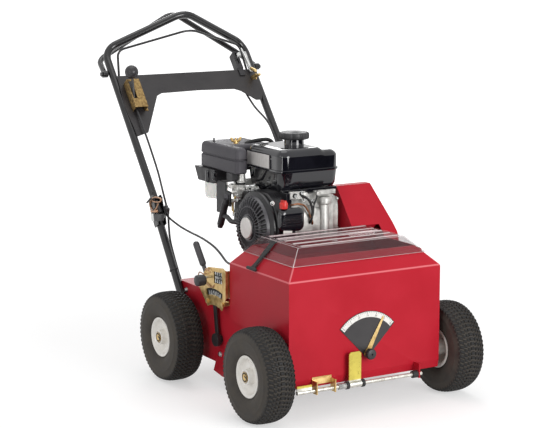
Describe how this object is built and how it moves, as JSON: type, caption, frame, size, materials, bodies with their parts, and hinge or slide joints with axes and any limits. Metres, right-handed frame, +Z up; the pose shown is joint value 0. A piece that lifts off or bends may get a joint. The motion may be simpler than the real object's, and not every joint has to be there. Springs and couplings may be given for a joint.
{
  "type": "walk-behind slit seeder",
  "caption": "Walk-behind slit seeder: red seed box with clear lid, slicing reel, turf wheels, small engine, folding handle.",
  "frame": {"origin": "bottom centre of the bounding box, on the floor", "axes": "+Z up, -Y the way the machine drives, +Y to the operator, +X to the operator's left"},
  "size_m": [0.759, 1.3226, 1.1183],
  "materials": {
    "red_paint": "gloss powder coat",
    "black_paint": "satin powder coat",
    "black_plastic": "moulded",
    "clear_lid": "clear, smoked",
    "clear_cup": "translucent",
    "red_plastic": "moulded",
    "grey_grip": "ribbed vinyl grip on a flat steel bar",
    "zinc": "zinc plated",
    "gold_zinc": "yellow zinc plated",
    "blade_steel": "bare hardened steel",
    "muffler_steel": "heat resistant coating",
    "aluminium": "die cast",
    "rubber": "moulded",
    "tyre": "turf tread",
    "cream_enamel": "gloss enamel"
  },
  "bodies": {
    "base": {"frame": "red_paint", "hopper": "red_paint", "dial_plate": "black_paint", "depth_quadrant": "gold_zinc", "gate_clevis": "gold_zinc", "transaxle": "aluminium", "drive_belt": "rubber", "belt_guard": "red_paint", "crankcase": "aluminium", "blower_housing": "black_paint", "recoil_cover": "black_plastic", "fuel_tank": "black_paint", "air_cleaner": "black_plastic", "intake_duct": "black_plastic", "filter_cup": "clear_cup", "carburettor": "aluminium", "muffler": "muffler_steel", "switch_box": "black_plastic", "lower_handle_left": "black_paint", "lower_handle_right": "black_paint", "fold_knob_left": "black_plastic", "fold_knob_right": "black_plastic", "front_axle": "gold_zinc", "engage_cable": "black_plastic"},
    "front_wheel_right": {"front_tyre_right": "tyre", "front_rim_right": "cream_enamel"},
    "front_wheel_left": {"front_tyre_left": "tyre", "front_rim_left": "cream_enamel"},
    "rear_wheels": {"rear_axle": "gold_zinc", "rear_tyre_left": "tyre", "rear_tyre_right": "tyre", "rear_rim_left": "cream_enamel", "rear_rim_right": "cream_enamel"},
    "lid": {"hopper_lid": "clear_lid"},
    "strap": {"latch_strap": "rubber"},
    "gate_shaft": {"gate_lever": "zinc"},
    "shutter": {"seed_gate": "zinc"},
    "pointer": {"dial_pointer": "gold_zinc", "pointer_knob": "black_plastic"},
    "lift": {"depth_lever": "grey_grip", "reel_frame": "black_paint"},
    "reel": {"blade_reel": "blade_steel", "reel_pulley": "aluminium"},
    "pawl": {"depth_knob": "black_plastic"},
    "crank": {"engine_pulley": "aluminium"},
    "stirrer": {"agitator": "zinc"},
    "starter_grip": {"recoil_grip": "black_plastic"},
    "cap": {"fuel_cap": "black_plastic"},
    "switch": {"stop_switch": "red_plastic"},
    "handle": {"upper_handle": "black_paint", "control_panel": "black_paint", "lever_gate": "gold_zinc", "throttle_box": "black_plastic", "bail_spring": "zinc", "traction_cable": "black_plastic", "throttle_cable": "black_plastic"},
    "drive_lever": {"traction_lever": "black_plastic"},
    "throttle": {"throttle_lever": "zinc"},
    "rear_bail": {"drive_bail": "black_paint"},
    "front_bail": {"engage_bail": "zinc"}
  },
  "joints": [
    {"name": "front_wheel_right_spin", "type": "hinge", "parent": "base", "child": "front_wheel_right", "pos_m": [-0.3315, -0.52128, 0.14], "axis": [1, 0, 0], "continuous": true},
    {"name": "front_wheel_left_spin", "type": "hinge", "parent": "base", "child": "front_wheel_left", "pos_m": [0.3315, -0.52128, 0.14], "axis": [1, 0, 0], "continuous": true},
    {"name": "rear_wheels_drive", "type": "hinge", "parent": "base", "child": "rear_wheels", "pos_m": [0, 0.02272, 0.14], "axis": [1, 0, 0], "continuous": true},
    {"name": "lid_hinge", "type": "hinge", "parent": "base", "child": "lid", "pos_m": [0.2396, -0.40728, 0.449], "axis": [0, 1, 0], "range_deg": [0, 110]},
    {"name": "strap_hinge", "type": "hinge", "parent": "lid", "child": "strap", "pos_m": [-0.19327, -0.37428, 0.4915], "axis": [0, 1, 0], "range_deg": [0, 100]},
    {"name": "gate_shaft_turn", "type": "hinge", "parent": "base", "child": "gate_shaft", "pos_m": [0, -0.59428, 0.091], "axis": [1, 0, 0], "range_deg": [0, 30]},
    {"name": "shutter_slide", "type": "slide", "parent": "base", "child": "shutter", "axis": [0, -1, 0], "range_m": [0, 0.03]},
    {"name": "pointer_turn", "type": "hinge", "parent": "base", "child": "pointer", "pos_m": [0.003, -0.57728, 0.175], "axis": [0, 1, 0], "range_deg": [-70, 15]},
    {"name": "reel_lift", "type": "hinge", "parent": "base", "child": "lift", "pos_m": [0, -0.16028, 0.158], "axis": [1, 0, 0], "range_deg": [0, 24], "deforming": ["drive_belt"]},
    {"name": "reel_spin", "type": "hinge", "parent": "lift", "child": "reel", "pos_m": [0, -0.29228, 0.163], "axis": [1, 0, 0], "continuous": true},
    {"name": "pawl_pull", "type": "slide", "parent": "base", "child": "pawl", "axis": [-1, 0, 0], "range_m": [0, 0.005], "stiffness_N_per_m": 200, "springref_m": -0.005},
    {"name": "crank_spin", "type": "hinge", "parent": "base", "child": "crank", "pos_m": [0, -0.11728, 0.487], "axis": [1, 0, 0], "continuous": true},
    {"name": "stirrer_spin", "type": "hinge", "parent": "base", "child": "stirrer", "pos_m": [0, -0.47728, 0.212], "axis": [1, 0, 0], "continuous": true},
    {"name": "starter_pull", "type": "slide", "parent": "base", "child": "starter_grip", "axis": [0, 1, 0], "range_m": [0, 0.45], "stiffness_N_per_m": 12, "springref_m": -0.3},
    {"name": "cap_turn", "type": "hinge", "parent": "base", "child": "cap", "pos_m": [0.066, -0.06228, 0.7275], "axis": [0, 0, 1], "range_deg": [0, 90]},
    {"name": "switch_turn", "type": "hinge", "parent": "base", "child": "switch", "pos_m": [-0.0796, -0.24078, 0.5604], "axis": [0, 0, 1], "range_deg": [0, 45]},
    {"name": "handle_fold", "type": "hinge", "parent": "base", "child": "handle", "pos_m": [0, 0.22589, 0.5004], "axis": [1, 0, 0], "range_deg": [-70, 0], "deforming": ["traction_cable", "throttle_cable"]},
    {"name": "drive_lever_turn", "type": "hinge", "parent": "handle", "child": "drive_lever", "pos_m": [-0.238, 0.45172, 0.82657], "axis": [1, 0, 0], "range_deg": [0, 14]},
    {"name": "throttle_turn", "type": "hinge", "parent": "handle", "child": "throttle", "pos_m": [0.2105, 0.56916, 0.9405], "axis": [1, 0, 0], "range_deg": [-15, 15]},
    {"name": "rear_bail_turn", "type": "hinge", "parent": "handle", "child": "rear_bail", "pos_m": [0, 0.56486, 0.9154], "axis": [1, 0, 0], "range_deg": [0, 13.5], "stiffness_Nm_per_rad": 1.5, "springref_deg": -20.05},
    {"name": "front_bail_turn", "type": "hinge", "parent": "handle", "child": "front_bail", "pos_m": [0, 0.54957, 0.89945], "axis": [1, 0, 0], "range_deg": [-25, 0], "stiffness_Nm_per_rad": 0.4, "springref_deg": 20.05}
  ],
  "couplings": [
    {"joint": "shutter_slide", "follows": "gate_shaft_turn", "m_per_rad": 0.055},
    {"joint": "crank_spin", "follows": "reel_spin", "ratio": 1.328},
    {"joint": "stirrer_spin", "follows": "reel_spin", "ratio": 0.5}
  ]
}
